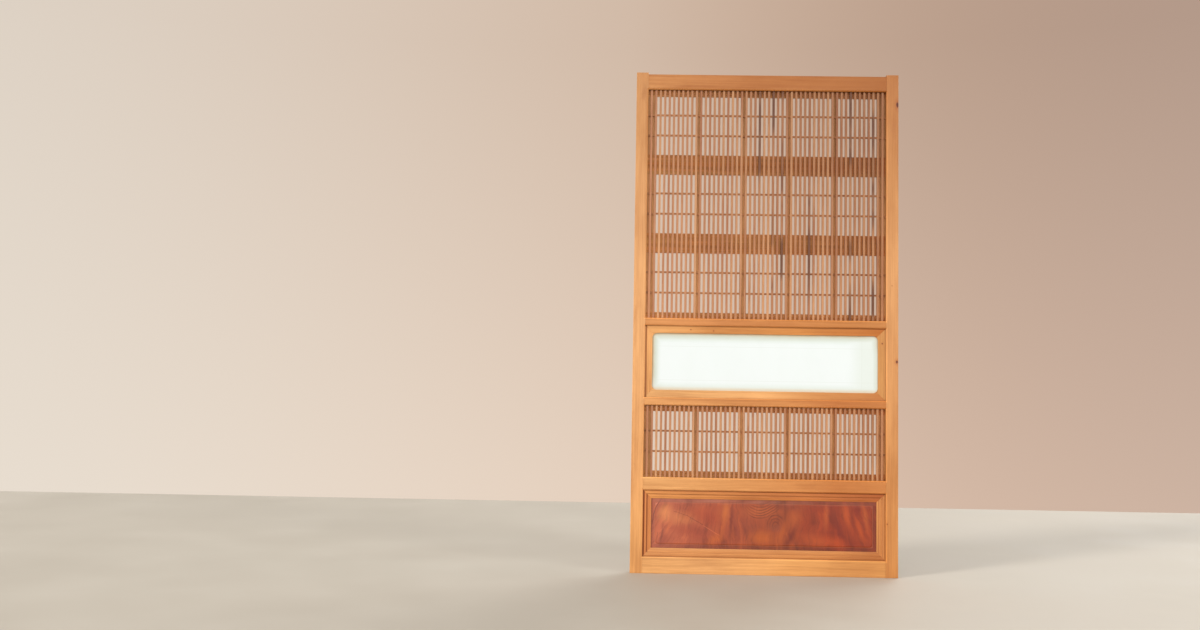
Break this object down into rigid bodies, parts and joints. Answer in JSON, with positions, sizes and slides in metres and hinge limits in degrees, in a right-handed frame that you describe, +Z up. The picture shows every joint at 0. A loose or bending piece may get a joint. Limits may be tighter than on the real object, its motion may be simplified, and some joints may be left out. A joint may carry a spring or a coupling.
{
  "type": "shoji sliding screen",
  "caption": "Framed sliding screen leaf with fine upright slat lattices above and below a round-cornered glass light, over a moulded raised wood panel.",
  "frame": {"origin": "middle of the foot of the leaf, centred on its width and thickness", "axes": "+X across the leaf, to the right as seen from the show face; +Y through the leaf from the show face to the back; +Z up"},
  "size_m": [0.915, 0.033, 1.74],
  "materials": {
    "frame_wood": "honey-coloured softwood, worn satin oil",
    "lattice_wood": "reddish softwood slats, varying in tone, worn satin oil",
    "figured_panel": "figured red-brown wood, satin lacquer",
    "etched_glass": "pale glass with an etched band and fine etched lines"
  },
  "bodies": {
    "root": {"bottom_rail": "frame_wood", "glass_bead_bottom": "frame_wood", "glass_bead_left": "frame_wood", "glass_bead_right": "frame_wood", "glass_bead_top": "frame_wood", "glass_pane": "etched_glass", "glass_surround_bottom": "frame_wood", "glass_surround_left": "frame_wood", "glass_surround_right": "frame_wood", "glass_surround_top": "frame_wood", "left_stile": "frame_wood", "lower_board_1": "lattice_wood", "lower_board_2": "lattice_wood", "lower_cross_bar_1": "lattice_wood", "lower_cross_bar_2": "lattice_wood", "lower_middle_rail": "frame_wood", "lower_post_1": "lattice_wood", "lower_post_2": "lattice_wood", "lower_post_3": "lattice_wood", "lower_post_4": "lattice_wood", "lower_post_5": "lattice_wood", "lower_post_6": "lattice_wood", "lower_slats_1": "lattice_wood", "lower_slats_2": "lattice_wood", "lower_slats_3": "lattice_wood", "lower_slats_4": "lattice_wood", "lower_slats_5": "lattice_wood", "panel_board": "figured_panel", "panel_moulding_bottom": "frame_wood", "panel_moulding_left": "frame_wood", "panel_moulding_right": "frame_wood", "panel_moulding_top": "frame_wood", "panel_rail": "frame_wood", "right_stile": "frame_wood", "top_rail": "frame_wood", "upper_board_1": "lattice_wood", "upper_board_2": "lattice_wood", "upper_board_3": "lattice_wood", "upper_board_4": "lattice_wood", "upper_cross_bar_1": "lattice_wood", "upper_cross_bar_2": "lattice_wood", "upper_cross_bar_3": "lattice_wood", "upper_cross_bar_4": "lattice_wood", "upper_cross_bar_5": "lattice_wood", "upper_cross_bar_6": "lattice_wood", "upper_middle_rail": "frame_wood", "upper_post_1": "lattice_wood", "upper_post_2": "lattice_wood", "upper_post_3": "lattice_wood", "upper_post_4": "lattice_wood", "upper_post_5": "lattice_wood", "upper_post_6": "lattice_wood", "upper_slats_1": "lattice_wood", "upper_slats_2": "lattice_wood", "upper_slats_3": "lattice_wood", "upper_slats_4": "lattice_wood", "upper_slats_5": "lattice_wood"}
  },
  "joints": []
}
